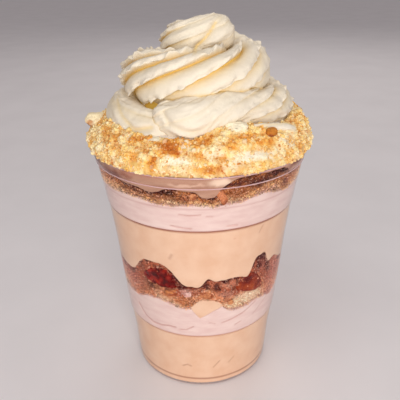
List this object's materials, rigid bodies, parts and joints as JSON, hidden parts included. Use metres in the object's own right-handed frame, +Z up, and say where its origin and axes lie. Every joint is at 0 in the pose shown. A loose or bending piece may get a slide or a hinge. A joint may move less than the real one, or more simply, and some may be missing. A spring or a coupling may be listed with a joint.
{
  "type": "banana pudding cup",
  "caption": "Layered banana pudding dessert in a clear plastic cup, with a crumb-coated cream mound and a piped cream swirl.",
  "frame": {"origin": "centre of the cup's underside, on the surface that it stands on", "axes": "+Z up along the cup's axis; -Y is the front that shows the jam and caramel pockets; +X is to the right seen from the front"},
  "size_m": [0.102, 0.102, 0.1681],
  "materials": {
    "clear_plastic": "clear thin moulded plastic, glossy",
    "vanilla_pudding": "smooth moist pudding, pale peach yellow",
    "whipped_cream": "soft whipped cream, satin",
    "cookie_crumbs": "dry golden cookie crumbs, grainy",
    "soaked_crumbs": "soaked brown crumbs, moist and grainy",
    "red_jam": "dark red glossy jam",
    "caramel": "red-brown glossy caramel"
  },
  "bodies": {
    "root": {"cup": "clear_plastic", "pudding_lower": "vanilla_pudding", "cream_lower": "whipped_cream", "pudding_pocket": "vanilla_pudding", "crumb_lower": "soaked_crumbs", "jam_pocket": "red_jam", "caramel_pocket": "caramel", "pudding_middle": "vanilla_pudding", "cream_middle": "whipped_cream", "crumb_upper": "soaked_crumbs", "cream_cap": "whipped_cream", "crumb_coat": "cookie_crumbs", "cookie_lump": "cookie_crumbs", "piped_swirl": "whipped_cream"}
  },
  "joints": []
}
